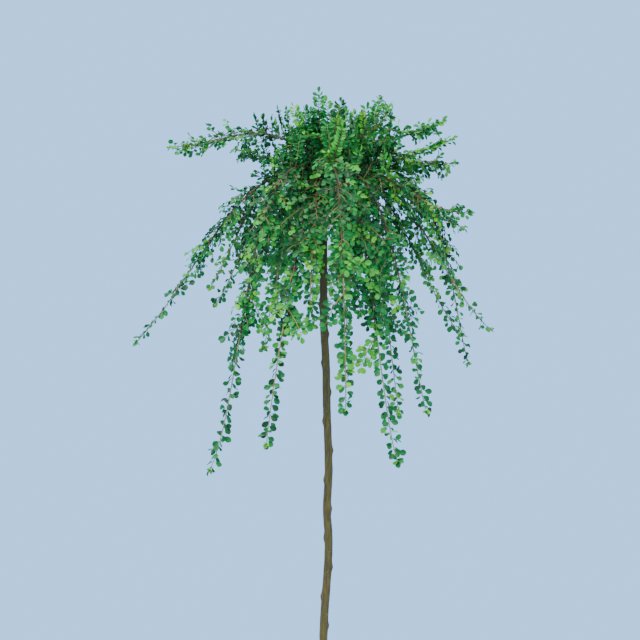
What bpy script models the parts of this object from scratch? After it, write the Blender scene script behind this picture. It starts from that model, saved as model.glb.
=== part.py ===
"""Cotoneaster congestus standard: a weeping crown of small round leaves, grafted on a bare stem.

Units are metres with +Z up, and the tables are in millimetres and degrees. The origin is the
middle of the flat cut at ground level. The front of the plant faces -Y, and +X is to its right.
Long whips leave the grafted head, arch over and hang. The thick first stretch of a whip is a
bough, and the rest of it, with its side twigs and leaves, is one mass of foliage.
"""
import math
import random
from collections import namedtuple

import bpy
from mathutils import Quaternion, Vector
from mathutils.bvhtree import BVHTree

MM = 0.001
UP = Vector((0, 0, 1))
SEED = 12
CLEARANCE = 0.35 * MM

TRUNK_TOP = 1006 * MM
TRUNK_SIDES = 10
TRUNK_FOOT_RADIUS = 7.4 * MM
TRUNK_NECK_RADIUS = 6.6 * MM
TRUNK_TOP_RADIUS = 7.5 * MM
FLARE_RADIUS = 6.5 * MM
FLARE_HEIGHT = 16 * MM
GRAFT_HEIGHT = 978 * MM
GRAFT_SWELLING = 3.2 * MM
GRAFT_LENGTH = 26 * MM
BUD_FIRST = 90 * MM
BUD_LAST = 930 * MM
BUD_SPACING = 51 * MM
BUD_SWELLING = 1.1 * MM
FOOT_RINGS = (0, 7, 16, 30, 55)
HEAD_RINGS = (945, 958, 970, 982, 994, 1003)
# Height of a place on the trunk's middle line, and how far it lies to the right and to the back.
TRUNK_BEND = (
    (0, 0, 0),
    (165, 0, -2),
    (340, 9, -3),
    (395, 6, -1),
    (460, 9, 2),
    (620, 5, 3),
    (745, 0, 1),
    (940, 0, 0),
    (1010, 0, 0),
)

WHIP_ROOT_OFFSET = 4.2
WHIP_STEPS = 60
BOUGH_SIDES = 6
BOUGH_RADII = (2.5 * MM, 2.1 * MM)
BOUGH_RING_SPACING = 27 * MM
ROOT_STEP = 0.1 * MM
ROOT_CHECK = 40 * MM

STEM_SIDES = 3
STEM_RADII = (2.2 * MM, 1.5 * MM)
STEM_RING_SPACING = 50 * MM
TIP_LEAF_REACH = 14 * MM
TWIG_RADII = (1.2 * MM, 1.1 * MM)
TWIG_RING_SPACING = 32 * MM
TWIG_FIRST = 12 * MM
TWIG_SPACING = 68 * MM
TWIG_LENGTHS = (46 * MM, 74 * MM)
TWIG_ANGLE = 48
TWIG_ROLL = 35
TWIG_DROOP = Vector((0, 0, -0.7))
TWIG_SHARE = 0.62

LEAF_FIRST = 9 * MM
LEAF_SPACING = 22 * MM
LEAF_ROOT_INSET = 1 * MM
LEAF_ANGLE = 58
LEAF_TIP_ANGLE = 8
LEAF_ROLL = 32
LEAF_LENGTHS = (37 * MM, 22 * MM)
LEAF_LENGTH_CHANGE = 0.1
LEAF_WIDTH = 0.8
LEAF_WIDEST = 0.56
LEAF_THICKEST = 0.28
LEAF_THICKNESS = 1.8 * MM
CROWN_MIDDLE = Vector((0, 0, 900)) * MM
CROWN_CORE = 90 * MM
CROWN_EDGE = 230 * MM

BARK = ((0.13, 0.11, 0.055), 0.75)
YOUNG_BARK = ((0.16, 0.10, 0.05), 0.70)
FOLIAGE = (
    ((0.010, 0.12, 0.045), 0.60),
    ((0.020, 0.18, 0.060), 0.55),
    ((0.050, 0.26, 0.070), 0.55),
)

# A whip starts beside the trunk's axis at a height, rises at an angle for a length, and comes to
# its tip, at its own reach and height, at an angle below level that holds for the length of its
# fall. Azimuth runs from the right towards the back. Limb is the length of the whip's bough.
Whip = namedtuple("Whip", "name azimuth start rise out reach tip hang fall limb")
WHIPS = (
    Whip("far_left_high", 172, 1000, 42, 150, 286, 1032, 0, 120, 80),
    Whip("left_high_inner", 156, 984, 22, 70, 180, 1036, -25, 60, 50),
    Whip("far_left_low", 190, 980, 16, 150, 334, 680, 46, 180, 80),
    Whip("back_left_outer", 143, 972, 25, 160, 268, 778, 45, 100, 70),
    Whip("back_left_inner", 160, 966, 22, 135, 212, 748, 45, 90, 60),
    Whip("front_left_long", 225, 982, 25, 205, 270, 472, 52, 140, 80),
    Whip("back_left_mid", 114, 976, 28, 115, 275, 665, 72, 180, 70),
    Whip("front_left_mid", 250, 978, 30, 55, 272, 517, 74, 190, 60),
    Whip("back_short", 96, 968, 20, 170, 205, 704, 74, 120, 60),
    Whip("front_mid", 278, 985, 28, 220, 254, 570, 88, 190, 70),
    Whip("back_mid", 79, 978, 28, 220, 245, 598, 85, 180, 70),
    Whip("front_right_long", 297, 980, 28, 172, 268, 488, 50, 115, 70),
    Whip("back_right_long", 58, 985, 27, 200, 272, 540, 72, 150, 70),
    Whip("front_right_mid", 314, 974, 27, 170, 246, 566, 71, 160, 70),
    Whip("right_low", 14, 984, 22, 245, 270, 638, 72, 130, 90),
    Whip("back_right_low", 32, 974, 22, 160, 306, 694, 38, 130, 80),
    Whip("far_right_low", 347, 985, 17, 155, 300, 704, 38, 130, 80),
    Whip("right_shoulder", 358, 974, 24, 130, 256, 886, 10, 110, 70),
    Whip("right_mid", 332, 995, 13, 110, 286, 906, -4, 110, 70),
    Whip("right_high", 4, 996, 22, 120, 242, 1006, -15, 90, 60),
    Whip("right_upper", 28, 991, 12, 90, 280, 1066, -38, 60, 60),
    Whip("topmost", 46, 996, 36, 70, 150, 1138, -75, 80, 50),
    Whip("top_far_right", 352, 1002, 40, 80, 218, 1080, -45, 70, 50),
    Whip("top_left_back", 126, 992, 44, 60, 110, 1085, -80, 45, 0),
    Whip("top_right", 316, 998, 38, 70, 155, 1098, -80, 60, 0),
    Whip("top_mid_right", 285, 1004, 60, 50, 100, 1078, -75, 40, 0),
    Whip("top_mid_back", 70, 1004, 62, 50, 90, 1088, -80, 40, 0),
    Whip("top_tall", 175, 1004, 80, 30, 8, 1099, -88, 40, 0),
    Whip("top_left", 235, 1004, 60, 45, 75, 1072, -80, 40, 0),
    Whip("skirt_left", 205, 960, 15, 90, 150, 722, 75, 90, 0),
    Whip("skirt_front_left", 262, 960, 15, 100, 165, 738, 80, 90, 0),
    Whip("skirt_front_right", 292, 958, 15, 100, 165, 726, 80, 90, 0),
    Whip("skirt_back_right", 44, 958, 15, 90, 150, 745, 75, 90, 0),
    Whip("skirt_back_left", 128, 955, 15, 90, 150, 750, 75, 90, 0),
)


def ray(degrees):
    """Cosine and sine of an angle in degrees."""
    angle = math.radians(degrees)
    return math.cos(angle), math.sin(angle)


def outward(whip):
    """Level direction from the trunk towards the whip's side of the crown."""
    right, back = ray(whip.azimuth)
    return Vector((right, back, 0))


def whip_point(whip, share):
    """Point of the whip at a share of its curve, from 0 beside the trunk's axis to 1 at its tip."""
    start = Vector((WHIP_ROOT_OFFSET, whip.start))
    tip = Vector((whip.reach, whip.tip))
    rise = Vector(ray(whip.rise))
    hang = Vector(ray(-whip.hang))
    first = start + whip.out * rise
    second = tip - whip.fall * hang
    rest = 1 - share
    place = rest ** 3 * start + 3 * rest ** 2 * share * first
    place += 3 * rest * share ** 2 * second + share ** 3 * tip
    return (place.x * outward(whip) + place.y * UP) * MM


class Path:
    """A line of growth in straight steps, with its heading at each point, read by distance."""

    def __init__(self, points, headings, level):
        self.points = points
        self.headings = headings
        self.level = level
        self.marks = [0]
        for before, after in zip(points, points[1:]):
            self.marks.append(self.marks[-1] + (after - before).length)
        self.length = self.marks[-1]

    def step(self, distance):
        """The step that holds a distance, and the share of it that is passed there."""
        number = 0
        while number < len(self.points) - 2 and self.marks[number + 1] < distance:
            number += 1
        passed = distance - self.marks[number]
        return number, passed / (self.marks[number + 1] - self.marks[number])

    def point(self, distance):
        """Point at a distance along the line."""
        number, share = self.step(distance)
        return self.points[number].lerp(self.points[number + 1], share)

    def frame(self, distance):
        """Heading at a distance, the way that the leaves face, and the way across both."""
        number, share = self.step(distance)
        heading = self.headings[number].lerp(self.headings[number + 1], share).normalized()
        facing = self.level.cross(heading).normalized()
        return heading, facing, heading.cross(facing)

    def stretch(self, begin, end, spacing):
        """A stretch of the line in longer straight steps of about one spacing."""
        count = max(1, round((end - begin) / spacing))
        marks = [begin + (end - begin) * step / count for step in range(count + 1)]
        points = [self.point(mark) for mark in marks]
        return Path(points, [self.frame(mark)[0] for mark in marks], self.level)


def whip_path(whip):
    """The whole whip, from beside the trunk's axis to its last leaf's root."""
    points = [whip_point(whip, step / WHIP_STEPS) for step in range(WHIP_STEPS + 1)]
    ahead = points[1:] + points[-1:]
    behind = points[:1] + points[:-1]
    headings = [(after - before).normalized() for before, after in zip(behind, ahead)]
    return Path(points, headings, outward(whip).cross(UP))


def twig_path(start, direction, facing, length):
    """A side twig whose direction turns little by little towards its droop."""
    steps = max(2, round(length / TWIG_RING_SPACING))
    points = [start]
    headings = [direction.normalized()]
    for _ in range(steps):
        points.append(points[-1] + headings[-1] * (length / steps))
        headings.append((headings[-1] + TWIG_DROOP / steps).normalized())
    return Path(points, headings, direction.cross(facing).normalized())


def skin(rings):
    """Points and faces of a closed tube through rings of corners."""
    sides = len(rings[0])
    points = [point for corners in rings for point in corners]
    faces = [tuple(reversed(range(sides)))]
    for start in range(0, len(points) - sides, sides):
        for side in range(sides):
            beside = (side + 1) % sides
            above = start + sides
            faces.append((start + side, start + beside, above + beside, above + side))
    faces.append(tuple(range(len(points) - sides, len(points))))
    return points, faces


def limb_shape(path, radii, sides, spare=0):
    """A tapering limb with a ring at each point of its path, or with spare the room it needs."""
    widening = spare / math.cos(math.pi / sides)
    rings = []
    for number, centre in enumerate(path.points):
        share = path.marks[number] / path.length
        heading, facing, across = path.frame(path.marks[number])
        if number == 0:
            centre = centre - heading * spare
        if number == len(path.points) - 1:
            centre = centre + heading * spare
        radius = radii[0] + share * (radii[1] - radii[0]) + widening
        corners = []
        for side in range(sides):
            forward, sideways = ray(360 * side / sides)
            corners.append(centre + radius * (forward * facing + sideways * across))
        rings.append(corners)
    return skin(rings)


def trunk_middle(height):
    """Point of the trunk's middle line at a height."""
    level = height / MM
    low, high = next(pair for pair in zip(TRUNK_BEND, TRUNK_BEND[1:]) if level <= pair[1][0])
    share = (level - low[0]) / (high[0] - low[0])
    share = share * share * (3 - 2 * share)
    right, back = ((low[axis] + share * (high[axis] - low[axis])) * MM for axis in (1, 2))
    return Vector((right, back, height))


def trunk_radius(height):
    """Radius of the trunk at a height, with its root flare and the swelling of the graft."""
    taper = height / TRUNK_TOP
    radius = TRUNK_FOOT_RADIUS + taper * (TRUNK_NECK_RADIUS - TRUNK_FOOT_RADIUS)
    flare = FLARE_RADIUS * math.exp(-height / FLARE_HEIGHT)
    swelling = GRAFT_SWELLING * math.exp(-((height - GRAFT_HEIGHT) / GRAFT_LENGTH) ** 2)
    return radius + flare + swelling


def trunk_ring(height, radius, bud_side=None):
    """Corners of the trunk at a height, drawn out on the side where a bud was."""
    corners = []
    for side in range(TRUNK_SIDES):
        angle = 360 * side / TRUNK_SIDES
        right, back = ray(angle)
        reach = radius
        if bud_side is not None:
            reach += BUD_SWELLING * max(0, ray(angle - bud_side)[0]) ** 2
        corners.append(trunk_middle(height) + reach * Vector((right, back, 0)))
    return corners


def trunk_shape():
    """Points and faces of the trunk, from the flat cut at the ground to the grafted head."""
    rings = [trunk_ring(level * MM, trunk_radius(level * MM)) for level in FOOT_RINGS]
    for bud in range(round((BUD_LAST - BUD_FIRST) / BUD_SPACING)):
        height = BUD_FIRST + bud * BUD_SPACING
        between = height + BUD_SPACING / 2
        rings.append(trunk_ring(height, trunk_radius(height), 180 * (bud % 2)))
        rings.append(trunk_ring(between, trunk_radius(between)))
    rings.extend(trunk_ring(level * MM, trunk_radius(level * MM)) for level in HEAD_RINGS)
    rings.append(trunk_ring(TRUNK_TOP, TRUNK_TOP_RADIUS))
    return skin(rings)


Leaf = namedtuple("Leaf", "base direction facing length")


def leaf_outline(leaf, spare=0):
    """The four corners of a leaf's outline: its base, its two widest places and its tip."""
    widest = leaf.base + leaf.direction * (leaf.length * LEAF_WIDEST)
    side = leaf.facing.cross(leaf.direction) * (leaf.length * LEAF_WIDTH / 2 + spare)
    base = leaf.base - leaf.direction * spare
    tip = leaf.base + leaf.direction * (leaf.length + spare)
    return [base, widest - side, tip, widest + side]


def leaf_shape(leaf):
    """A leaf's points and its 8 faces, which meet at its thickest place on either side."""
    thickest = leaf.base + leaf.direction * (leaf.length * LEAF_THICKEST)
    bulge = leaf.facing * (LEAF_THICKNESS / 2)
    points = leaf_outline(leaf) + [thickest + bulge, thickest - bulge]
    faces = []
    for corner in range(4):
        beside = (corner + 1) % 4
        faces.append((corner, beside, 4))
        faces.append((beside, corner, 5))
    return points, faces


def leaf_room(leaf):
    """A flat block round the leaf and the clearance that it needs."""
    outline = leaf_outline(leaf, 2 * CLEARANCE)
    rise = leaf.facing * (LEAF_THICKNESS / 2 + CLEARANCE)
    return skin([[point - rise for point in outline], [point + rise for point in outline]])


Piece = namedtuple("Piece", "name low high tree")


def as_piece(name, shape):
    """A shape's box and search tree."""
    points, faces = shape
    low = [min(point[axis] for point in points) for axis in range(3)]
    high = [max(point[axis] for point in points) for axis in range(3)]
    return Piece(name, low, high, BVHTree.FromPolygons(points, faces))


def boxes_apart(one, other):
    """True when the boxes of two pieces don't meet."""
    return any(one.low[axis] > other.high[axis] or one.high[axis] < other.low[axis]
               for axis in range(3))


class Space:
    """The pieces that are placed, so that the next one keeps clear of them."""

    def __init__(self, pieces=()):
        self.pieces = list(pieces)

    def place(self, name, shape):
        """Keep a piece and return it."""
        piece = as_piece(name, shape)
        self.pieces.append(piece)
        return piece

    def met(self, room, parent=None):
        """Name of a piece that the room meets, other than the one it grows from, or None."""
        new = as_piece("room", room)
        for piece in self.pieces:
            if piece is not parent and not boxes_apart(new, piece):
                if new.tree.overlap(piece.tree):
                    return piece.name
        return None

    def place_limb(self, name, path, radii, sides):
        """Keep a limb that has to be clear of every other, and return its shape and piece."""
        met = self.met(limb_shape(path, radii, sides, CLEARANCE * 0.9))
        if met:
            raise ValueError(f"{name} meets {met}")
        shape = limb_shape(path, radii, sides)
        return shape, self.place(name, shape)


class Mass:
    """One mass of foliage: its stem, and the twigs and leaves that are fused to it."""

    def __init__(self, name, path, space):
        self.name = name
        self.path = path
        self.random = random.Random(f"{SEED} {name}")
        self.stem, self.piece = space.place_limb(name, path, STEM_RADII, STEM_SIDES)
        self.parts = []
        self.twigs = []

    def rolled(self, heading, most):
        """A seeded turn about a heading, to either side."""
        return Quaternion(heading, math.radians(self.random.uniform(-most, most)))

    def grow_twigs(self, space):
        """Side twigs on the upper share of the stem, to either side in turn."""
        distance = TWIG_FIRST
        side = 1
        while distance < self.path.length * TWIG_SHARE:
            heading, facing, across = self.path.frame(distance)
            along, aside = ray(TWIG_ANGLE)
            way = heading * along + across * (aside * side)
            way = self.rolled(heading, TWIG_ROLL) @ way
            length = self.random.uniform(*TWIG_LENGTHS)
            twig = twig_path(self.path.point(distance), way, facing, length)
            if not space.met(limb_shape(twig, TWIG_RADII, STEM_SIDES, CLEARANCE), self.piece):
                shape = limb_shape(twig, TWIG_RADII, STEM_SIDES)
                self.parts.append(shape)
                self.twigs.append((twig, space.place(self.name, shape)))
            side = -side
            distance += TWIG_SPACING

    def grow_leaves(self, space):
        """Leaves on the stem, then on each twig."""
        for path, piece in [(self.path, self.piece)] + self.twigs:
            distance = LEAF_FIRST
            side = 1
            while distance < path.length + LEAF_SPACING / 2:
                leaf = self.leaf_at(path, distance, side)
                if not space.met(leaf_room(leaf), piece):
                    shape = leaf_shape(leaf)
                    self.parts.append(shape)
                    space.place(self.name, shape)
                side = -side
                distance += LEAF_SPACING

    def leaf_at(self, path, distance, side):
        """The leaf that grows at a distance along a path, to one side or on ahead at the tip."""
        at_tip = distance > path.length - LEAF_SPACING / 2
        root = min(distance, path.length - LEAF_ROOT_INSET)
        heading, facing, across = path.frame(root)
        roll = self.rolled(heading, LEAF_ROLL)
        along, aside = ray(LEAF_TIP_ANGLE if at_tip else LEAF_ANGLE)
        way = roll @ (heading * along + across * (aside * side))
        facing = roll @ facing
        base = path.point(root)
        away = ((base - CROWN_MIDDLE).length - CROWN_CORE) / (CROWN_EDGE - CROWN_CORE)
        away = min(1, max(0, away))
        length = LEAF_LENGTHS[0] + away * (LEAF_LENGTHS[1] - LEAF_LENGTHS[0])
        length *= 1 + self.random.uniform(-LEAF_LENGTH_CHANGE, LEAF_LENGTH_CHANGE)
        return Leaf(base, way, facing, length)


def make_material(name, colour, roughness):
    """A plain material for one piece."""
    material = bpy.data.materials.new(name)
    material.use_nodes = True
    shader = material.node_tree.nodes["Principled BSDF"]
    shader.inputs["Base Color"].default_value = (*colour, 1)
    shader.inputs["Roughness"].default_value = roughness
    shader.inputs["Metallic"].default_value = 0
    return material


def make_object(name, shape, material, collection):
    """A mesh object with its material, in a collection."""
    points, faces = shape
    mesh = bpy.data.meshes.new(name)
    mesh.from_pydata([tuple(point) for point in points], [], faces)
    mesh.materials.append(material)
    made = bpy.data.objects.new(name, mesh)
    collection.objects.link(made)
    return made


def root_distance(path, trunk, radius, sides):
    """Shortest distance along a whip at which a limb of a radius is clear of the trunk."""
    distance = 0
    while True:
        start = path.stretch(distance, distance + ROOT_CHECK, BOUGH_RING_SPACING)
        if not trunk.met(limb_shape(start, (radius, radius), sides, CLEARANCE)):
            return distance
        distance += ROOT_STEP


def make_trunk(space):
    """The trunk's object, and a space that holds the trunk alone."""
    shape = trunk_shape()
    piece = space.place("trunk", shape)
    make_object("trunk", shape, make_material("trunk", *BARK), bpy.context.scene.collection)
    return Space([piece])


def make_bough(whip, path, trunk, space):
    """A whip's bough, and the path of the rest of the whip, which starts clear of its tip."""
    begin = root_distance(path, trunk, BOUGH_RADII[0], BOUGH_SIDES)
    end = begin + whip.limb * MM
    name = "bough_" + whip.name
    limb = path.stretch(begin, end, BOUGH_RING_SPACING)
    shape, _ = space.place_limb(name, limb, BOUGH_RADII, BOUGH_SIDES)
    material = make_material(name, *YOUNG_BARK)
    make_object(name, shape, material, bpy.context.scene.collection)
    return path.stretch(end + CLEARANCE, path.length - TIP_LEAF_REACH, STEM_RING_SPACING)


def stem_paths(space, trunk):
    """Boughs for the whips that have one, and the path of each whip's foliage stem."""
    paths = {}
    for whip in WHIPS:
        path = whip_path(whip)
        if whip.limb:
            paths[whip.name] = make_bough(whip, path, trunk, space)
        else:
            begin = root_distance(path, trunk, STEM_RADII[0], STEM_SIDES)
            end = path.length - TIP_LEAF_REACH
            paths[whip.name] = path.stretch(begin, end, STEM_RING_SPACING)
    return paths


def fuse(mass, material):
    """One solid from the stem, the twigs and the leaves of a mass."""
    scene = bpy.context.scene.collection
    made = make_object(mass.name, mass.stem, material, scene)
    group = bpy.data.collections.new(mass.name)
    scene.children.link(group)
    for shape in mass.parts:
        make_object(mass.name + "_part", shape, material, group)
    union = made.modifiers.new("Fuse twigs and leaves", "BOOLEAN")
    union.operation = "UNION"
    union.operand_type = "COLLECTION"
    union.collection = group
    union.solver = "EXACT"
    bpy.context.view_layer.objects.active = made
    bpy.ops.object.modifier_apply(modifier=union.name)
    for part in list(group.objects):
        bpy.data.objects.remove(part)
    bpy.data.collections.remove(group)


def main():
    """The trunk and the boughs, then the stems, the twigs and the leaves of every mass."""
    for old in list(bpy.data.objects):
        bpy.data.objects.remove(old)
    space = Space()
    trunk = make_trunk(space)
    paths = stem_paths(space, trunk)
    masses = [Mass("foliage_" + name, path, space) for name, path in paths.items()]
    for mass in masses:
        mass.grow_twigs(space)
    for mass in masses:
        mass.grow_leaves(space)
    for number, mass in enumerate(masses):
        fuse(mass, make_material(mass.name, *FOLIAGE[number % len(FOLIAGE)]))


main()
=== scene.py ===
"""Looks of the cotoneaster congestus standard: bark with its relief, fine twigs and round leaves.

Units are metres with +Z up, and the tables are in millimetres and degrees. The front of the plant
faces -Y, and +X is to its right. The whips follow the source's curves, and its side twigs come
back from the same seeds. Finer twigs, short spurs and small leaves then grow on them.
"""
import math
import random
from collections import namedtuple

import bpy
import numpy as np
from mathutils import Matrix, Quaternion, Vector, noise


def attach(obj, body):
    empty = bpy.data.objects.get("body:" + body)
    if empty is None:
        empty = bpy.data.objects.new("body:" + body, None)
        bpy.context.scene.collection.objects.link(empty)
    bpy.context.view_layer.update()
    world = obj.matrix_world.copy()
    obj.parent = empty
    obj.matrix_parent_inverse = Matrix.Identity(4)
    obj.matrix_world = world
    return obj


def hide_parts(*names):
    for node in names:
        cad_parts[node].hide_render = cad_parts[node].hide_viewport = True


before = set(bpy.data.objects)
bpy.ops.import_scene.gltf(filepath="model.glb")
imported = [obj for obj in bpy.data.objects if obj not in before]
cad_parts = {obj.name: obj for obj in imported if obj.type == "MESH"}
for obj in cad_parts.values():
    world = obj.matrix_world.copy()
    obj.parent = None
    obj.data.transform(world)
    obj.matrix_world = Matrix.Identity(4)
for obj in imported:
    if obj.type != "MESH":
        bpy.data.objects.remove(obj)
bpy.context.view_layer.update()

MM = 0.001
TURN = 360
UP = Vector((0, 0, 1))
SEED = 12

# The camera looks level at the trunk, and sees the view's width at the trunk's distance.
CAMERA_DISTANCE = 3.0
CAMERA_PLACE = (-0.006125, -CAMERA_DISTANCE, 0.72625)
CAMERA_SENSOR = 36
VIEW_WIDTH = 1.12
FLOOR_RADIUS = 0.8
FLOOR_SIDES = 96
# The sky's colour is also the strength of its light, so it may pass 1.
SKY = (0.58, 1.14, 1.95)
# Soft square lamps, which all face one place in the crown. Their power is in watts.
LAMP_COLOUR = (1, 0.93, 0.78)
LAMP_TARGET = (0, 0, 0.85)
Lamp = namedtuple("Lamp", "name place size power")
LAMPS = (
    Lamp("key_lamp", (-1.2, -2.0, 3.0), 1.4, 115),
    Lamp("fill_lamp", (2.0, -2.0, 1.5), 2.2, 24),
    Lamp("back_lamp", (0.6, 2.4, 2.2), 1.8, 40),
    Lamp("top_lamp", (-0.3, -0.3, 3.0), 1.2, 42),
)

# The trunk's sizes are the source's, but for its finer mesh and its larger buds.
TRUNK_TOP = 1006 * MM
TRUNK_SIDES = 28
TRUNK_RING_SPACING = 3.5 * MM
TRUNK_FOOT_RADIUS = 7.4 * MM
TRUNK_NECK_RADIUS = 6.6 * MM
TRUNK_TOP_RADIUS = 7.5 * MM
TRUNK_SHOULDER = 3 * MM
FLARE_RADIUS = 6.5 * MM
FLARE_HEIGHT = 16 * MM
GRAFT_HEIGHT = 978 * MM
GRAFT_SWELLING = 3.2 * MM
GRAFT_LENGTH = 26 * MM
BUD_FIRST = 90 * MM
BUD_LAST = 930 * MM
BUD_SPACING = 51 * MM
BUD_SWELLING = 2.3 * MM
BUD_HEIGHT = 6 * MM
BUD_SHARPNESS = 3
# How deep the relief of the bark is, and how fine its noise is to the metre.
FURROW_DEPTH = 0.28 * MM
FURROW_GRAIN = 420
FURROW_STRETCH = 0.22
KNOB_DEPTH = 0.35 * MM
KNOB_GRAIN = 70
# How far the trunk's middle line lies to the right and to the back at each of these heights.
Bend = namedtuple("Bend", "height right back")
TRUNK_BEND = (
    Bend(0, 0, 0),
    Bend(165, 0, -2),
    Bend(340, 9, -3),
    Bend(395, 6, -1),
    Bend(460, 9, 2),
    Bend(620, 5, 3),
    Bend(745, 0, 1),
    Bend(940, 0, 0),
    Bend(1010, 0, 0),
)

# The distance of a whip's start from the trunk's axis, in millimetres as in the table of whips.
WHIP_ROOT_OFFSET = 4.2
WHIP_STEPS = 60
BOUGH_SIDES = 10
BOUGH_RADII = (2.6 * MM, 2.1 * MM)
BOUGH_RING_SPACING = 2.5 * MM
BOUGH_RELIEF = 0.22 * MM
BOUGH_GRAIN = 330
# A bough starts inside the trunk, so it is this much longer here than in the table of whips. It is
# all that a whip without a bough has.
SHORT_BOUGH = 25 * MM

# Two radii are at a limb's root and at its tip, and two lengths, angles, droops or gaps are the
# least and the most that the seeds give. Angles are from what a twig grows on, and gaps are shares
# of the spacing. A whip's stem starts just inside its bough and ends a leaf's reach before the
# whip's tip.
TWIG_SIDES = 5
TWIG_STEP = 7 * MM
TWIG_LEAST_STEPS = 2
STEM_RADII = (2.0 * MM, 0.7 * MM)
STEM_OLD_SHARE = 0.55
CLEARANCE = 0.35 * MM
TIP_LEAF_REACH = 14 * MM

# These values are the source's own, so that its side twigs come back close to their places.
TWIG_FIRST = 12 * MM
TWIG_SPACING = 68 * MM
TWIG_LENGTHS = (46 * MM, 74 * MM)
TWIG_ANGLE = 48
TWIG_ROLL = 35
TWIG_DROOP = -0.7
TWIG_SHARE = 0.62
# Finer than in the source, with twiglets that it doesn't have.
TWIG_RADII = (1.05 * MM, 0.5 * MM)
TWIGLET_SPACING = 13 * MM
TWIGLET_LENGTHS = (9 * MM, 22 * MM)

# A whip is level where its angle below level at the tip is under the first, and upright where it
# is under the second.
LEVEL_BELOW = 20
UPRIGHT_BELOW = -30

# Finer side twigs grow along each whip from close to the head, as far as a share of its length.
LEAFY_FROM = 16 * MM
SIDE_RADII = (0.75 * MM, 0.4 * MM)
SIDE_SPACING = 5 * MM
SIDE_GAPS = (0.8, 1.3)
SIDE_LENGTHS = (18 * MM, 50 * MM)
SIDE_SHORTENING = 0.5
SIDE_ANGLES = (38, 68)
SIDE_ROLL = 85
SIDE_SHARE = 0.6
LEVEL_SIDE_SHARE = 0.92
UPRIGHT_SIDE_SIZE = 0.45
OLD_SIDE_CHANCE = 0.4
LOW_DROOPS = (-1.1, -0.7)
HIGH_DROOPS = (-1.3, 0.5)
HIGH_FROM = 935 * MM

# Above a height and near the head, some of them are shoots that lean a little and rise.
SHOOT_FROM = 965 * MM
SHOOT_REACH = 120 * MM
SHOOT_CHANCE = 0.34
SHOOT_LEAN = 0.5
SHOOT_LENGTHS = (22 * MM, 58 * MM)
SHOOT_RISE = 0.6

# Short spurs fill the rest. Low down they are shorter and further apart.
SPUR_RADII = (0.5 * MM, 0.4 * MM)
SPUR_SPACING = 5.8 * MM
SPUR_GAPS = (0.6, 1.2)
SPUR_LENGTHS = (3 * MM, 13 * MM)
SPUR_ANGLES = (40, 72)
SPUR_ROLL = 60
SPUR_TINT_CHANCE = 0.25
LOW_SPUR_LOSS = 0.62
LOW_SPUR_GAP = 0.3
UPRIGHT_SPUR_SIZE = 0.35

# Leaves are larger low down. Those of upright twigs stand in pairs, and are longer and narrower.
LEAF_FIRST = 4 * MM
LEAF_SPACING = 4.8 * MM
STEM_LEAF_SPACING = 9 * MM
LEAF_LENGTHS = (8.5 * MM, 12 * MM)
LEAF_ANGLES = (42, 66)
LEAF_ROLL = 55
LEAF_PITCH = 22
LOW_LEAF_GROWTH = 0.28
UPRIGHT_LEAF_SPACING = 5.2 * MM
UPRIGHT_LEAF_SIZE = 1.15
UPRIGHT_LEAF_WIDTH = 0.7
UPRIGHT_LEAF_ANGLES = (50, 72)
UPRIGHT_LEAF_ROLL = 75
LIGHTER_TIP = 2 * LEAF_SPACING
LIGHTER_TIP_CHANCE = 0.45
TIP_LEAVES = 6
TIP_LEAF_SIZE = 0.72
TIP_LEAF_ANGLES = (18, 58)

# A leaf's outline as shares of its length: how far along it is, and half its width there.
LEAF_STATIONS = ((0.13, 0.03), (0.30, 0.20), (0.57, 0.35), (0.80, 0.31), (0.94, 0.16))
LEAF_FOLD = 0.30
LEAF_CURL = 0.16
LEAF_HALF_THICKNESS = 0.018
# A leaf's mesh has a point at its root and one at its tip, then four at each station.
LEAF_ROOT = 0
LEAF_TIP = 1
STATION_POINTS = 4
LEFT_RIM, RIGHT_RIM, UPPER_RIB, LOWER_RIB = range(STATION_POINTS)
# Leaves to a piece, so that it stays under 200,000 triangles.
MOST_LEAVES = 4500

# The colours of a leaf's upper side and of its paler underside, from the darkest tint up.
# The darkest is painted shade, the dark green of leaves in the crown's shadow.
Tint = namedtuple("Tint", "upper under")
TINTS = {
    "shade": Tint((0.004, 0.055, 0.006), (0.016, 0.095, 0.018)),
    "deep": Tint((0.005, 0.110, 0.012), (0.024, 0.150, 0.026)),
    "mid": Tint((0.012, 0.185, 0.018), (0.040, 0.230, 0.036)),
    "bright": Tint((0.050, 0.310, 0.018), (0.090, 0.330, 0.038)),
    "young": Tint((0.150, 0.440, 0.016), (0.190, 0.450, 0.040)),
}
TINT_NAMES = tuple(TINTS)
# How often each tint comes in the crown's core and at its edge, and what lowness takes from that.
# This is painted shade inside the crown and low down, and painted light at its edge.
CROWN_MIDDLE = Vector((0, 0, 900)) * MM
CROWN_CORE = 95 * MM
CROWN_EDGE = 250 * MM
INNER_WEIGHTS = (40, 42, 17, 1, 0)
OUTER_WEIGHTS = (8, 36, 39, 16, 1)
LOW_SHADE = 0.7

Finish = namedtuple("Finish", "roughness shine")
TRUNK_FINISH = Finish(0.75, 0.3)
BOUGH_FINISH = Finish(0.7, 0.3)
OLD_TWIG_FINISH = Finish(0.7, 0.4)
YOUNG_TWIG_FINISH = Finish(0.55, 0.4)
UPPER_LEAF_FINISH = Finish(0.5, 0.28)
UNDER_LEAF_FINISH = Finish(0.7, 0.2)
FLOOR_FINISH = Finish(0.9, 0.3)

# Fine noise as relief: how many grains there are to a metre, and how deep and strong they look.
Relief = namedtuple("Relief", "scale detail depth strength")
BOUGH_GRIT = Relief(900, 3, 0.3 * MM, 0.6)
TWIG_GRIT = Relief(1200, 3, 0.2 * MM, 0.5)
LEAF_VEINS = Relief(650, 2, 0.25 * MM, 0.45)
FLOOR_GRIT = Relief(400, 3, 0.2 * MM, 0.2)

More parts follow.
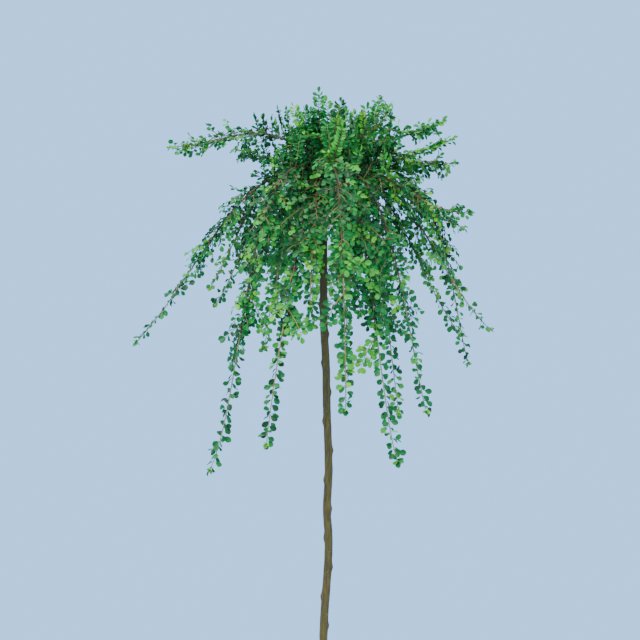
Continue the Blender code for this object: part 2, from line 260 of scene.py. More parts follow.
# Soft noise as colour: the low value of the noise counts as none and the high one as all.
Mottle = namedtuple("Mottle", "scale detail low high stretch")
NO_STRETCH = (1, 1, 1)
STREAKS = Mottle(380, 3, 0.35, 0.65, (1, 1, 0.12))
PATCHES = Mottle(26, 3, 0.38, 0.62, NO_STRETCH)
LENTICELS = Mottle(520, 1, 0.66, 0.72, (0.45, 0.45, 1.6))
BOUGH_PATCHES = Mottle(60, 3, 0.35, 0.65, NO_STRETCH)
NOISE_ROUGHNESS = 0.6
# The Mix node's colour sockets go by number, because its other kinds share their names.
MIX_SHARE = 0
MIX_FIRST = 6
MIX_SECOND = 7
MIX_RESULT = 2

TRUNK_COLOUR = (0.13, 0.11, 0.055)
TRUNK_DARK = (0.042, 0.024, 0.004, 1)
TRUNK_LIGHT = (0.142, 0.088, 0.016, 1)
TRUNK_PATCH = (0.080, 0.060, 0.010, 1)
LENTICEL_COLOUR = (0.26, 0.21, 0.11, 1)
# Painted shade: the crown's shadow on the trunk, painted as darker bark on its upper part.
PAINTED_CROWN_SHADE = (0.030, 0.026, 0.012, 1)
PATCH_SHARE = 0.45
LENTICEL_SHARE = 0.6
SHADED_SHARE = 0.6
# Between these heights the bark darkens into the painted shade of the crown.
SHADED_FROM = 660 * MM
SHADED_TO = 860 * MM
SMOOTH_ROUGHNESS = 0.62
STREAK_ROUGHNESS = 0.2
STREAK_RELIEF = 0.6
TRUNK_RELIEF_DEPTH = 0.4 * MM
TRUNK_RELIEF_STRENGTH = 0.7
BOUGH_COLOUR = (0.16, 0.10, 0.05)
BOUGH_RED = (0.075, 0.036, 0.018, 1)
BOUGH_GREY = (0.150, 0.105, 0.055, 1)
OLD_TWIG_COLOUR = (0.085, 0.045, 0.022)
YOUNG_TWIG_COLOUR = (0.27, 0.175, 0.045)
FLOOR_COLOUR = (0.8, 0.8, 0.78)

# A whip starts beside the trunk's axis at a height, rises at an angle for a length, and comes to
# its tip, at its own reach and height, at an angle below level that holds for the length of its
# fall. Azimuth runs from the right towards the back. Limb is the length of the whip's bough.
Whip = namedtuple("Whip", "name azimuth start rise out reach tip hang fall limb")
WHIPS = (
    Whip("far_left_high", 172, 1000, 42, 150, 286, 1032, 0, 120, 80),
    Whip("left_high_inner", 156, 984, 22, 70, 180, 1036, -25, 60, 50),
    Whip("far_left_low", 190, 980, 16, 150, 334, 680, 46, 180, 80),
    Whip("back_left_outer", 143, 972, 25, 160, 268, 778, 45, 100, 70),
    Whip("back_left_inner", 160, 966, 22, 135, 212, 748, 45, 90, 60),
    Whip("front_left_long", 225, 982, 25, 205, 270, 472, 52, 140, 80),
    Whip("back_left_mid", 114, 976, 28, 115, 275, 665, 72, 180, 70),
    Whip("front_left_mid", 250, 978, 30, 55, 272, 517, 74, 190, 60),
    Whip("back_short", 96, 968, 20, 170, 205, 704, 74, 120, 60),
    Whip("front_mid", 278, 985, 28, 220, 254, 570, 88, 190, 70),
    Whip("back_mid", 79, 978, 28, 220, 245, 598, 85, 180, 70),
    Whip("front_right_long", 297, 980, 28, 172, 268, 488, 50, 115, 70),
    Whip("back_right_long", 58, 985, 27, 200, 272, 540, 72, 150, 70),
    Whip("front_right_mid", 314, 974, 27, 170, 246, 566, 71, 160, 70),
    Whip("right_low", 14, 984, 22, 245, 270, 638, 72, 130, 90),
    Whip("back_right_low", 32, 974, 22, 160, 306, 694, 38, 130, 80),
    Whip("far_right_low", 347, 985, 17, 155, 300, 704, 38, 130, 80),
    Whip("right_shoulder", 358, 974, 24, 130, 256, 886, 10, 110, 70),
    Whip("right_mid", 332, 995, 13, 110, 286, 906, -4, 110, 70),
    Whip("right_high", 4, 996, 22, 120, 242, 1006, -15, 90, 60),
    Whip("right_upper", 28, 991, 12, 90, 280, 1066, -38, 60, 60),
    Whip("topmost", 46, 996, 36, 70, 150, 1138, -75, 80, 50),
    Whip("top_far_right", 352, 1002, 40, 80, 218, 1080, -45, 70, 50),
    Whip("top_left_back", 126, 992, 44, 60, 110, 1085, -80, 45, 0),
    Whip("top_right", 316, 998, 38, 70, 155, 1098, -80, 60, 0),
    Whip("top_mid_right", 285, 1004, 60, 50, 100, 1078, -75, 40, 0),
    Whip("top_mid_back", 70, 1004, 62, 50, 90, 1088, -80, 40, 0),
    Whip("top_tall", 175, 1004, 80, 30, 8, 1099, -88, 40, 0),
    Whip("top_left", 235, 1004, 60, 45, 75, 1072, -80, 40, 0),
    Whip("skirt_left", 205, 960, 15, 90, 150, 722, 75, 90, 0),
    Whip("skirt_front_left", 262, 960, 15, 100, 165, 738, 80, 90, 0),
    Whip("skirt_front_right", 292, 958, 15, 100, 165, 726, 80, 90, 0),
    Whip("skirt_back_right", 44, 958, 15, 90, 150, 745, 75, 90, 0),
    Whip("skirt_back_left", 128, 955, 15, 90, 150, 750, 75, 90, 0),
)


def ray(degrees):
    """Cosine and sine of an angle in degrees."""
    angle = math.radians(degrees)
    return math.cos(angle), math.sin(angle)


def spokes(count):
    """Cosine and sine of each of a count of even steps round a circle."""
    return [ray(TURN * number / count) for number in range(count)]


def leaning(heading, across, angle, side):
    """The way at an angle from a heading, across to one side of it."""
    along, aside = ray(angle)
    return heading * along + across * (aside * side)


def outward(whip):
    """Level direction from the trunk towards the whip's side of the crown."""
    right, back = ray(whip.azimuth)
    return Vector((right, back, 0))


def whip_point(whip, share):
    """Point of the whip at a share of its curve, from 0 beside the trunk's axis to 1 at its tip."""
    start = Vector((WHIP_ROOT_OFFSET, whip.start))
    tip = Vector((whip.reach, whip.tip))
    rise = Vector(ray(whip.rise))
    hang = Vector(ray(-whip.hang))
    first = start + whip.out * rise
    second = tip - whip.fall * hang
    rest = 1 - share
    place = rest ** 3 * start + 3 * rest ** 2 * share * first
    place += 3 * rest * share ** 2 * second + share ** 3 * tip
    return (place.x * outward(whip) + place.y * UP) * MM


class Path:
    """A line of growth in straight steps, with its heading at each point, read by distance.

    It bends about its hinge, which is square to its heading and to the way that its leaves face.
    """

    def __init__(self, points, headings, hinge):
        self.points = points
        self.headings = headings
        self.hinge = hinge
        self.marks = [0]
        for before, after in zip(points, points[1:]):
            self.marks.append(self.marks[-1] + (after - before).length)
        self.length = self.marks[-1]

    def step(self, distance):
        """The step that holds a distance, and the share of it that is passed there."""
        number = 0
        while number < len(self.points) - 2 and self.marks[number + 1] < distance:
            number += 1
        passed = distance - self.marks[number]
        return number, passed / (self.marks[number + 1] - self.marks[number])

    def point(self, distance):
        """Point at a distance along the line."""
        number, share = self.step(distance)
        return self.points[number].lerp(self.points[number + 1], share)

    def directions(self, distance):
        """Heading at a distance, the way that the leaves face, and the way across both."""
        number, share = self.step(distance)
        heading = self.headings[number].lerp(self.headings[number + 1], share).normalized()
        facing = self.hinge.cross(heading).normalized()
        return heading, facing, heading.cross(facing)

    def stretch(self, begin, end, spacing):
        """A stretch of the line in straight steps of about one spacing."""
        count = max(1, round((end - begin) / spacing))
        marks = [begin + (end - begin) * step / count for step in range(count + 1)]
        points = [self.point(mark) for mark in marks]
        return Path(points, [self.directions(mark)[0] for mark in marks], self.hinge)


def whip_path(whip):
    """The whole whip, from beside the trunk's axis to its tip."""
    points = [whip_point(whip, step / WHIP_STEPS) for step in range(WHIP_STEPS + 1)]
    ahead = points[1:] + points[-1:]
    behind = points[:1] + points[:-1]
    headings = [(after - before).normalized() for before, after in zip(behind, ahead)]
    return Path(points, headings, outward(whip).cross(UP))


def twig_path(start, direction, facing, length, droop):
    """A twig whose direction turns little by little towards its droop."""
    steps = max(TWIG_LEAST_STEPS, round(length / TWIG_STEP))
    points = [start]
    headings = [direction.normalized()]
    for _ in range(steps):
        points.append(points[-1] + headings[-1] * (length / steps))
        headings.append((headings[-1] + UP * (droop / steps)).normalized())
    return Path(points, headings, direction.cross(facing).normalized())


def trunk_middle(height):
    """Point of the trunk's middle line at a height, which passes smoothly from bend to bend."""
    millimetres = height / MM
    pairs = zip(TRUNK_BEND, TRUNK_BEND[1:])
    low, high = next(pair for pair in pairs if millimetres <= pair[1].height)
    share = (millimetres - low.height) / (high.height - low.height)
    share = share * share * (3 - 2 * share)
    right = (low.right + share * (high.right - low.right)) * MM
    back = (low.back + share * (high.back - low.back)) * MM
    return Vector((right, back, height))


def trunk_radius(height):
    """Radius of the trunk at a height, with its root flare, its graft and its narrow top."""
    taper = height / TRUNK_TOP
    radius = TRUNK_FOOT_RADIUS + taper * (TRUNK_NECK_RADIUS - TRUNK_FOOT_RADIUS)
    flare = FLARE_RADIUS * math.exp(-height / FLARE_HEIGHT)
    swelling = GRAFT_SWELLING * math.exp(-((height - GRAFT_HEIGHT) / GRAFT_LENGTH) ** 2)
    shoulder = max(0, height - TRUNK_TOP + TRUNK_SHOULDER) / TRUNK_SHOULDER
    return (radius + flare + swelling) * (1 - shoulder) + TRUNK_TOP_RADIUS * shoulder


def bud_swelling(height, angle):
    """How far the bark stands out at an old bud, on one side of the trunk and then the other."""
    bud = round((height - BUD_FIRST) / BUD_SPACING)
    bud = min(max(0, bud), round((BUD_LAST - BUD_FIRST) / BUD_SPACING) - 1)
    above = (height - BUD_FIRST - bud * BUD_SPACING) / BUD_HEIGHT
    facing = max(0, ray(angle - TURN / 2 * (bud % 2))[0])
    return BUD_SWELLING * math.exp(-above * above) * facing ** BUD_SHARPNESS


def bark_relief(place, depth, grain, stretch):
    """Relief of bark at a place. A small stretch draws it out upwards into furrows."""
    return depth * noise.noise(Vector((place.x, place.y, place.z * stretch)) * grain)


def skin(rings):
    """Points and faces of a closed tube through rings of corners."""
    sides = len(rings[0])
    points = [point for corners in rings for point in corners]
    faces = [tuple(reversed(range(sides)))]
    for start in range(0, len(points) - sides, sides):
        for side in range(sides):
            beside = (side + 1) % sides
            above = start + sides
            faces.append((start + side, start + beside, above + beside, above + side))
    faces.append(tuple(range(len(points) - sides, len(points))))
    return points, faces


def trunk_shape():
    """Points and faces of the trunk with the relief of its bark."""
    count = round(TRUNK_TOP / TRUNK_RING_SPACING)
    rings = []
    for number in range(count + 1):
        height = TRUNK_TOP * number / count
        middle = trunk_middle(height)
        corners = []
        for side in range(TRUNK_SIDES):
            angle = TURN * side / TRUNK_SIDES
            right, back = ray(angle)
            way = Vector((right, back, 0))
            reach = trunk_radius(height) + bud_swelling(height, angle)
            place = middle + way * reach
            reach += bark_relief(place, FURROW_DEPTH, FURROW_GRAIN, FURROW_STRETCH)
            reach += bark_relief(place, KNOB_DEPTH, KNOB_GRAIN, 1)
            corners.append(middle + way * reach)
        rings.append(corners)
    return skin(rings)


def limb_shape(path, radii, sides, relief=0):
    """A tapering limb with a ring at each point of its path, and its bark's relief."""
    rings = []
    for number, centre in enumerate(path.points):
        share = path.marks[number] / path.length
        _, facing, across = path.directions(path.marks[number])
        radius = radii[0] + share * (radii[1] - radii[0])
        corners = []
        for forward, sideways in spokes(sides):
            way = forward * facing + sideways * across
            place = centre + radius * way
            if relief:
                place = place + way * bark_relief(place, relief, BOUGH_GRAIN, 1)
            corners.append(place)
        rings.append(corners)
    return skin(rings)


def joined(shapes):
    """The points and faces of several shapes as one."""
    points = []
    faces = []
    for some_points, some_faces in shapes:
        start = len(points)
        points.extend(some_points)
        faces.extend(tuple(start + corner for corner in face) for face in some_faces)
    return points, faces


def leaf_line(corner):
    """Numbers of a leaf's points from its root to its tip, by one corner of each station."""
    first = LEAF_TIP + 1 + corner
    between = [first + STATION_POINTS * station for station in range(len(LEAF_STATIONS))]
    return [LEAF_ROOT] + between + [LEAF_TIP]


def leaf_model():
    """Points of a leaf a metre long, as along, across and above it, and its faces.

    The blade folds up from its midrib, curls down to its tip and closes at its edge. Each face
    comes with whether it is on the underside.
    """
    points = [(0, 0, 0), (1, 0, -LEAF_CURL)]
    for along, half in LEAF_STATIONS:
        sag = -LEAF_CURL * along ** 2
        rise = sag + LEAF_FOLD * half
        points.append((along, half, rise))
        points.append((along, -half, rise))
        points.append((along, 0, sag + LEAF_HALF_THICKNESS))
        points.append((along, 0, sag - LEAF_HALF_THICKNESS))
    faces = []
    for rib in (UPPER_RIB, LOWER_RIB):
        for rim in (LEFT_RIM, RIGHT_RIM):
            middle = leaf_line(rib)
            edge = leaf_line(rim)
            for near in range(len(middle) - 1):
                corners = [middle[near], middle[near + 1], edge[near + 1], edge[near]]
                # At the leaf's root and at its tip, two of the corners are one point.
                corners = list(dict.fromkeys(corners))
                if (rib == UPPER_RIB) == (rim == RIGHT_RIM):
                    corners.reverse()
                faces.append((tuple(corners), rib == LOWER_RIB))
    return np.array(points), faces


Leaf = namedtuple("Leaf", "base way facing length width")


class Growth:
    """The twigs and leaves of the whole crown, sorted by age and by tint."""

    def __init__(self):
        self.old = []
        self.young = []
        self.leaves = {name: [] for name in TINT_NAMES}

    def twig(self, path, radii, old):
        """Keep a twig's shape, with the old wood or with the young."""
        shape = limb_shape(path, radii, TWIG_SIDES)
        (self.old if old else self.young).append(shape)


class Mass:
    """One whip's side twigs, finer twigs, spurs and leaves, with its own seeds.

    Path is its stem beyond the bough, and leafy is the whip from close to the head on.
    """

    def __init__(self, whip, path, leafy, growth):
        self.whip = whip
        self.path = path
        self.leafy = leafy
        self.growth = growth
        self.twig_random = random.Random(f"{SEED} foliage_{whip.name}")
        self.random = random.Random(f"{SEED} fine {whip.name}")
        self.upright = whip.hang < UPRIGHT_BELOW

    def between(self, pair):
        """A seeded value between two."""
        return self.random.uniform(*pair)

    def turned(self, axis, most):
        """A seeded turn about an axis, to either side."""
        return Quaternion(axis, math.radians(self.random.uniform(-most, most)))

    def tint_at(self, place):
        """The tint of a spray: painted shade inside the crown and low down, painted light at its
        edge.
        """
        # Painted shade and light: the further from the crown's core and the higher, the lighter the
        # tint.
        away = ((place - CROWN_MIDDLE).length - CROWN_CORE) / (CROWN_EDGE - CROWN_CORE)
        away = min(1, max(0, away)) * (1 - LOW_SHADE * self.lowness(place))
        weights = [inner + away * (outer - inner)
                   for inner, outer in zip(INNER_WEIGHTS, OUTER_WEIGHTS)]
        return self.random.choices(range(len(TINT_NAMES)), weights)[0]

    def lowness(self, place):
        """How low a place is, from 0 at the crown's middle or above it to 1 well below it."""
        return min(1, max(0, (CROWN_MIDDLE.z - place.z) / CROWN_EDGE))

    def leaf(self, base, way, facing, tint, upright, size=1):
        """One leaf, turned and tilted a little from its place."""
        roll = self.turned(way, UPRIGHT_LEAF_ROLL if upright else LEAF_ROLL)
        facing = roll @ facing
        pitch = self.turned(way.cross(facing).normalized(), LEAF_PITCH)
        width = UPRIGHT_LEAF_WIDTH if upright else 1
        length = size * self.between(LEAF_LENGTHS) * (1 + LOW_LEAF_GROWTH * self.lowness(base))
        if upright:
            length *= UPRIGHT_LEAF_SIZE
        leaf = Leaf(base, (pitch @ way).normalized(), (pitch @ facing).normalized(),
                    length, width)
        self.growth.leaves[TINT_NAMES[tint]].append(leaf)

    def leaf_row(self, path, tint, upright=False, spacing=LEAF_SPACING):
        """Leaves along a twig and one at its tip, where they may be of a lighter tint.

        They stand to either side in turn, or in pairs where the twig is upright.
        """
        upright = upright or self.upright
        lighter = min(len(TINT_NAMES) - 1, tint + (self.random.random() < LIGHTER_TIP_CHANCE))
        angles = UPRIGHT_LEAF_ANGLES if upright else LEAF_ANGLES
        distance = LEAF_FIRST
        side = self.random.choice((-1, 1))
        while distance < path.length:
            heading, facing, across = path.directions(distance)
            here = lighter if distance > path.length - LIGHTER_TIP else tint
            for towards in (side, -side) if upright else (side,):
                way = leaning(heading, across, self.between(angles), towards)
                self.leaf(path.point(distance), way, facing, here, upright)
            side = -side
            distance += UPRIGHT_LEAF_SPACING if upright else spacing
        heading, facing, _ = path.directions(path.length)
        self.leaf(path.points[-1], heading, facing, lighter, upright)

    def tip_cluster(self, path):
        """Small young leaves that open round the tip of a stem."""
        heading, facing, across = path.directions(path.length)
        young = TINT_NAMES.index("young")
        for forward, sideways in spokes(TIP_LEAVES):
            around = facing * forward + across * sideways
            along, aside = ray(self.between(TIP_LEAF_ANGLES))
            way = heading * along + around * aside
            inward = heading * aside - around * along
            self.leaf(path.points[-1], way, inward, young, self.upright, TIP_LEAF_SIZE)

    def branch(self, path, distance, side, angles, roll, length, droop):
        """The path of a twig that grows to one side from a place on another."""
        heading, facing, across = path.directions(distance)
        way = leaning(heading, across, self.between(angles), side)
        way = self.turned(heading, roll) @ way
        return twig_path(path.point(distance), way, facing, length, droop)

    def main_twigs(self):
        """The source's side twigs, from the same seeds, with twiglets and leaves on them."""
        distance = TWIG_FIRST
        side = 1
        while distance < self.path.length * TWIG_SHARE:
            heading, facing, across = self.path.directions(distance)
            way = leaning(heading, across, TWIG_ANGLE, side)
            turn = math.radians(self.twig_random.uniform(-TWIG_ROLL, TWIG_ROLL))
            way = Quaternion(heading, turn) @ way
            length = self.twig_random.uniform(*TWIG_LENGTHS)
            twig = twig_path(self.path.point(distance), way, facing, length, TWIG_DROOP)
            self.growth.twig(twig, TWIG_RADII, False)
            tint = self.tint_at(twig.points[-1])
            self.leaf_row(twig, tint)
            self.twiglets(twig, tint)
            side = -side
            distance += TWIG_SPACING

    def twiglets(self, path, tint):
        """Short twigs to either side of a longer one, of the same spray."""
        distance = TWIGLET_SPACING * self.random.random() + TWIGLET_SPACING / 2
        side = self.random.choice((-1, 1))
        while distance < path.length - TWIGLET_SPACING / 2:
            length = self.between(TWIGLET_LENGTHS)
            twig = self.branch(path, distance, side, SPUR_ANGLES, SPUR_ROLL, length, 0)
            self.growth.twig(twig, SPUR_RADII, False)
            self.leaf_row(twig, tint)
            side = -side
            distance += TWIGLET_SPACING

    def side_twigs(self):
        """Finer twigs close together on the bough and the stem, some of them upright shoots."""
        level = self.whip.hang < LEVEL_BELOW
        end = self.leafy.length * (LEVEL_SIDE_SHARE if level else SIDE_SHARE)
        distance = SIDE_SPACING
        side = 1
        while distance < end:
            place = self.leafy.point(distance)
            droop = self.between(HIGH_DROOPS if place.z > HIGH_FROM else LOW_DROOPS)
            length = self.between(SIDE_LENGTHS)
            length *= 1 - SIDE_SHORTENING * distance / self.leafy.length
            if self.upright:
                length *= UPRIGHT_SIDE_SIZE
            near = place.z > SHOOT_FROM and distance < SHOOT_REACH
            shoot = near and self.random.random() < SHOOT_CHANCE
            if shoot:
                twig = self.shoot(distance, side)
            else:
                twig = self.branch(self.leafy, distance, side, SIDE_ANGLES, SIDE_ROLL, length,
                                   droop)
            self.growth.twig(twig, SIDE_RADII, self.random.random() < OLD_SIDE_CHANCE)
            self.leaf_row(twig, self.tint_at(twig.points[-1]), shoot)
            side = -side
            distance += SIDE_SPACING * self.between(SIDE_GAPS)

    def shoot(self, distance, side):
        """The path of an upright shoot near the head."""
        heading, _, across = self.leafy.directions(distance)
        lean = heading * self.random.uniform(0, SHOOT_LEAN)
        lean += across * side * self.random.uniform(0, SHOOT_LEAN)
        length = self.between(SHOOT_LENGTHS)
        return twig_path(self.leafy.point(distance), UP + lean, heading, length, SHOOT_RISE)

    def spurs(self):
        """Short spurs with a few leaves each, all along the bough and the stem."""
        distance = SPUR_SPACING
        side = 1
        tint = self.tint_at(self.leafy.points[0])
        while distance < self.leafy.length:
            if self.random.random() < SPUR_TINT_CHANCE:
                tint = self.tint_at(self.leafy.point(distance))
            low = self.lowness(self.leafy.point(distance))
            length = self.between(SPUR_LENGTHS) * (1 - LOW_SPUR_LOSS * low)
            if self.upright:
                length *= UPRIGHT_SPUR_SIZE
            twig = self.branch(self.leafy, distance, side, SPUR_ANGLES, SPUR_ROLL, length, 0)
            self.growth.twig(twig, SPUR_RADII, False)
            self.leaf_row(twig, tint)
            side = -side
            distance += SPUR_SPACING * (self.between(SPUR_GAPS) + LOW_SPUR_GAP * low)

    def stem(self):
        """The stem itself, old wood at first and young wood towards the tip."""
        turn = self.path.length * STEM_OLD_SHARE
        middle = STEM_RADII[0] + STEM_OLD_SHARE * (STEM_RADII[1] - STEM_RADII[0])
        old = self.path.stretch(0, turn, TWIG_STEP)
        young = self.path.stretch(turn, self.path.length, TWIG_STEP)
        self.growth.twig(old, (STEM_RADII[0], middle), True)
        self.growth.twig(young, (middle, STEM_RADII[1]), False)
        self.leaf_row(young, self.tint_at(young.points[-1]), spacing=STEM_LEAF_SPACING)
        self.tip_cluster(young)


class Value:
    """A socket among a material's nodes. Sums and products of values add its Math nodes."""

    def __init__(self, look, socket):
        self.look = look
        self.socket = socket

    def combined(self, operation, first, second):
        """What a Math node makes of two values."""
        return self.look.node("ShaderNodeMath", {"operation": operation}, {0: first, 1: second})

    def __add__(self, other):
        return self.combined("ADD", self, other)

    def __mul__(self, other):
        return self.combined("MULTIPLY", self, other)

    __radd__ = __add__
    __rmul__ = __mul__


class Look:
    """A material in the making, with its plain colour and finish set on the shader."""

    def __init__(self, name, colour, finish):
        self.material = bpy.data.materials.new(name)
        self.material.use_nodes = True
        self.tree = self.material.node_tree
        self.shader = self.tree.nodes["Principled BSDF"]
        self.shader.inputs["Base Color"].default_value = (*colour, 1)
        self.shader.inputs["Roughness"].default_value = finish.roughness
        self.shader.inputs["Specular IOR Level"].default_value = finish.shine

    def node(self, kind, settings, sockets, output=0):
        """A node of a type, with its settings, then the values or links of its sockets."""
        made = self.tree.nodes.new(kind)
        for name, value in settings.items():
            setattr(made, name, value)
        for name, value in sockets.items():
            if isinstance(value, Value):
                self.tree.links.new(value.socket, made.inputs[name])
            else:
                made.inputs[name].default_value = value
        return Value(self, made.outputs[output])

    def feed(self, name, value):
        """Link a value to one of the shader's sockets."""
        self.tree.links.new(value.socket, self.shader.inputs[name])

    def place(self, stretch=NO_STRETCH):
        """A place on the object in metres, stretched along its axes."""
        place = self.node("ShaderNodeTexCoord", {}, {}, "Object")
        return self.node("ShaderNodeVectorMath", {"operation": "MULTIPLY"}, {0: place, 1: stretch})

    def grain(self, place, scale, detail):
        """Soft noise from 0 to 1 at a scale."""
        sockets = {"Vector": place, "Scale": scale, "Detail": detail}
        sockets["Roughness"] = NOISE_ROUGHNESS
        return self.node("ShaderNodeTexNoise", {}, sockets)

    def spread(self, value, low, high):
        """A value drawn out so that low becomes 0 and high becomes 1."""
        sockets = {"Value": value, "From Min": low, "From Max": high}
        return self.node("ShaderNodeMapRange", {"clamp": True}, sockets)

    def mottled(self, mottle):
        """How far a mottle shows at a place, from 0 to 1."""
        soft = self.grain(self.place(mottle.stretch), mottle.scale, mottle.detail)
        return self.spread(soft, mottle.low, mottle.high)

    def mixed(self, share, first, second):
        """A colour between two."""
        sockets = {MIX_SHARE: share, MIX_FIRST: first, MIX_SECOND: second}
        return self.node("ShaderNodeMix", {"data_type": "RGBA"}, sockets, MIX_RESULT)

    def bump(self, height, distance, strength):
        """Relief that is too fine for the mesh."""
        sockets = {"Height": height, "Distance": distance, "Strength": strength}
        self.feed("Normal", self.node("ShaderNodeBump", {}, sockets))

    def grained(self, relief):
        """Relief of fine grains all over."""
        height = self.grain(self.place(), relief.scale, relief.detail)
        self.bump(height, relief.depth, relief.strength)


def trunk_bark():
    """Olive brown bark, streaked up the stem, with pale lenticels and painted shade of the crown on
    its upper part.
    """
    look = Look("trunk_bark", TRUNK_COLOUR, TRUNK_FINISH)
    streaks = look.mottled(STREAKS)
    patches = look.mottled(PATCHES)
    lenticels = look.mottled(LENTICELS)
    height = look.node("ShaderNodeSeparateXYZ", {}, {0: look.place()}, "Z")
    # Painted shade of the crown: the bark darkens between these two heights.
    shade = look.spread(height, SHADED_FROM, SHADED_TO)
    colour = look.mixed(streaks, TRUNK_DARK, TRUNK_LIGHT)
    colour = look.mixed(patches * PATCH_SHARE, colour, TRUNK_PATCH)
    colour = look.mixed(lenticels * LENTICEL_SHARE, colour, LENTICEL_COLOUR)
    colour = look.mixed(shade * SHADED_SHARE, colour, PAINTED_CROWN_SHADE)
    look.feed("Base Color", colour)
    look.feed("Roughness", SMOOTH_ROUGHNESS + streaks * STREAK_ROUGHNESS)
    relief = streaks * STREAK_RELIEF + lenticels
    look.bump(relief, TRUNK_RELIEF_DEPTH, TRUNK_RELIEF_STRENGTH)
    return look.material


def bough_bark():
    """Red brown bark of the boughs, greyer in patches."""
    look = Look("bough_bark", BOUGH_COLOUR, BOUGH_FINISH)
    look.feed("Base Color", look.mixed(look.mottled(BOUGH_PATCHES), BOUGH_RED, BOUGH_GREY))
    look.grained(BOUGH_GRIT)
    return look.material


def grained_skin(name, colour, finish, relief):
    """A skin of one colour with fine relief: a twig's bark, a side of a leaf, or the floor."""
    look = Look(name, colour, finish)
    look.grained(relief)
    return look.material


def made_object(name, points, faces, materials, smooth):
    """A mesh object in the scene."""
    mesh = bpy.data.meshes.new(name)
    mesh.from_pydata(points, [], faces)
    for material in materials:
        mesh.materials.append(material)
    mesh.polygons.foreach_set("use_smooth", [smooth] * len(mesh.polygons))
    made = bpy.data.objects.new(name, mesh)
    bpy.context.scene.collection.objects.link(made)
    return made


def dress(piece, nodes):
    """A piece rides on the plant's one body and hides the source's nodes that it stands for."""
    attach(piece, "root")
    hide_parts(*nodes)


def wood_piece(name, shapes, material, nodes):
    """Limbs or twigs joined in one piece."""
    points, faces = joined(shapes)
    piece = made_object(name, [tuple(point) for point in points], faces, [material], True)
    dress(piece, nodes)


def leaf_skins(name, tint):
    """The upper and the paler lower side of the leaves of one tint, with their fine veins."""
    upper = grained_skin(f"leaf_{name}_upper", tint.upper, UPPER_LEAF_FINISH, LEAF_VEINS)
    under = grained_skin(f"leaf_{name}_under", tint.under, UNDER_LEAF_FINISH, LEAF_VEINS)
    return [upper, under]


def leaf_piece(name, leaves, skins, nodes):
    """Many leaves of one tint as one mesh."""
    model, faces = leaf_model()
    bases, ways, facings = (np.array([tuple(getattr(leaf, part)) for leaf in leaves])
                            for part in ("base", "way", "facing"))
    lengths = np.array([leaf.length for leaf in leaves])[:, None, None]
    widths = np.array([leaf.width for leaf in leaves])[:, None, None]
    sides = np.cross(facings, ways)
    along, across, above = (model[None, :, axis, None] for axis in range(3))
    points = along * ways[:, None] + across * widths * sides[:, None] + above * facings[:, None]
    points = (bases[:, None] + lengths * points).reshape(-1, 3)
    corners = [tuple(start + corner for corner in face)
               for start in range(0, len(points), len(model)) for face, _ in faces]
    piece = made_object(name, points.tolist(), corners, skins, False)
    undersides = [under for _, under in faces] * len(leaves)
    piece.data.polygons.foreach_set("material_index", undersides)
    dress(piece, nodes)


def grow_crown():
    """The boughs' shapes, and the growth of every whip."""
    growth = Growth()
    boughs = []
    for whip in WHIPS:
        path = whip_path(whip)
        end = whip.limb * MM + SHORT_BOUGH
        limb = path.stretch(0, end, BOUGH_RING_SPACING)
        boughs.append(limb_shape(limb, BOUGH_RADII, BOUGH_SIDES, BOUGH_RELIEF))
        stem = path.stretch(end - CLEARANCE, path.length - TIP_LEAF_REACH, TWIG_STEP)
        leafy = path.stretch(LEAFY_FROM, path.length - TIP_LEAF_REACH, TWIG_STEP)
        mass = Mass(whip, stem, leafy, growth)
        mass.stem()
        mass.main_twigs()
        mass.side_twigs()
        mass.spurs()
    return boughs, growth


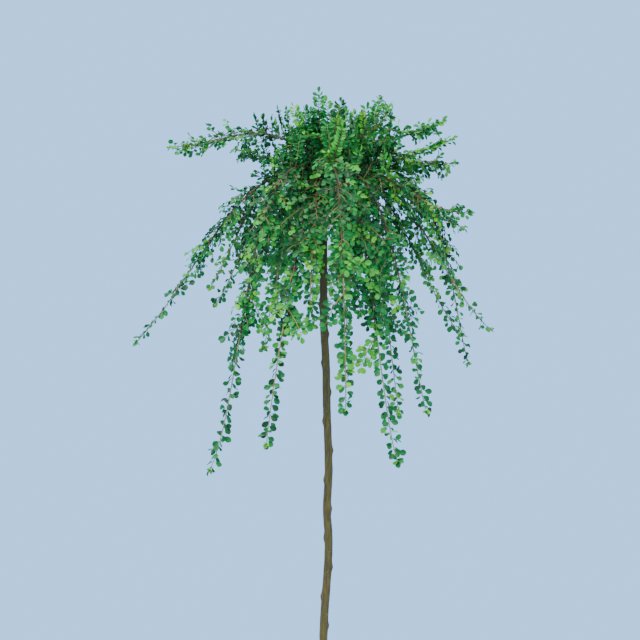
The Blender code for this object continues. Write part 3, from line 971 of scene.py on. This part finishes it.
def make_plant():
    """Every piece of the plant."""
    masses = ["foliage_" + whip.name for whip in WHIPS]
    limbs = ["bough_" + whip.name for whip in WHIPS if whip.limb]
    boughs, growth = grow_crown()
    wood_piece("trunk_with_bark", [trunk_shape()], trunk_bark(), ["trunk"])
    wood_piece("boughs", boughs, bough_bark(), limbs)
    old = grained_skin("old_twig_bark", OLD_TWIG_COLOUR, OLD_TWIG_FINISH, TWIG_GRIT)
    young = grained_skin("young_twig_bark", YOUNG_TWIG_COLOUR, YOUNG_TWIG_FINISH, TWIG_GRIT)
    wood_piece("twigs_old", growth.old, old, masses)
    wood_piece("twigs_young", growth.young, young, masses)
    for name, tint in TINTS.items():
        leaves = growth.leaves[name]
        skins = leaf_skins(name, tint)
        for part, start in enumerate(range(0, len(leaves), MOST_LEAVES)):
            some = leaves[start:start + MOST_LEAVES]
            leaf_piece(f"leaves_{name}_{part + 1}", some, skins, masses)


def make_floor():
    """A plain round floor that the trunk stands on."""
    points = [(FLOOR_RADIUS * right, FLOOR_RADIUS * back, 0)
              for right, back in spokes(FLOOR_SIDES)]
    faces = [tuple(range(FLOOR_SIDES))]
    floor_skin = grained_skin("pale_floor", FLOOR_COLOUR, FLOOR_FINISH, FLOOR_GRIT)
    floor = made_object("floor", points, faces, [floor_skin], False)


def make_lamp(plan):
    """A soft square lamp that faces the crown."""
    light = bpy.data.lights.new(plan.name, "AREA")
    light.size = plan.size
    light.energy = plan.power
    light.color = LAMP_COLOUR
    lamp = bpy.data.objects.new(plan.name, light)
    lamp.location = plan.place
    way = Vector(LAMP_TARGET) - Vector(plan.place)
    lamp.rotation_euler = way.to_track_quat("-Z", "Y").to_euler()
    bpy.context.scene.collection.objects.link(lamp)


def make_sky():
    """A plain pale blue sky, which lights the plant too."""
    world = bpy.data.worlds.new("pale_sky")
    world.use_nodes = True
    world.node_tree.nodes["Background"].inputs["Color"].default_value = (*SKY, 1)
    bpy.context.scene.world = world


def make_camera():
    """The camera at the photograph's place, level and turned to the back."""
    camera = bpy.data.cameras.new("camera")
    camera.sensor_width = CAMERA_SENSOR
    camera.lens = CAMERA_SENSOR * CAMERA_DISTANCE / VIEW_WIDTH
    holder = bpy.data.objects.new("camera", camera)
    holder.location = CAMERA_PLACE
    holder.rotation_euler = (math.pi / 2, 0, 0)
    bpy.context.scene.collection.objects.link(holder)
    bpy.context.scene.camera = holder


def make_surroundings():
    """The floor, the sky, the lamps and the camera."""
    make_floor()
    make_sky()
    for plan in LAMPS:
        make_lamp(plan)
    make_camera()


make_plant()
make_surroundings()
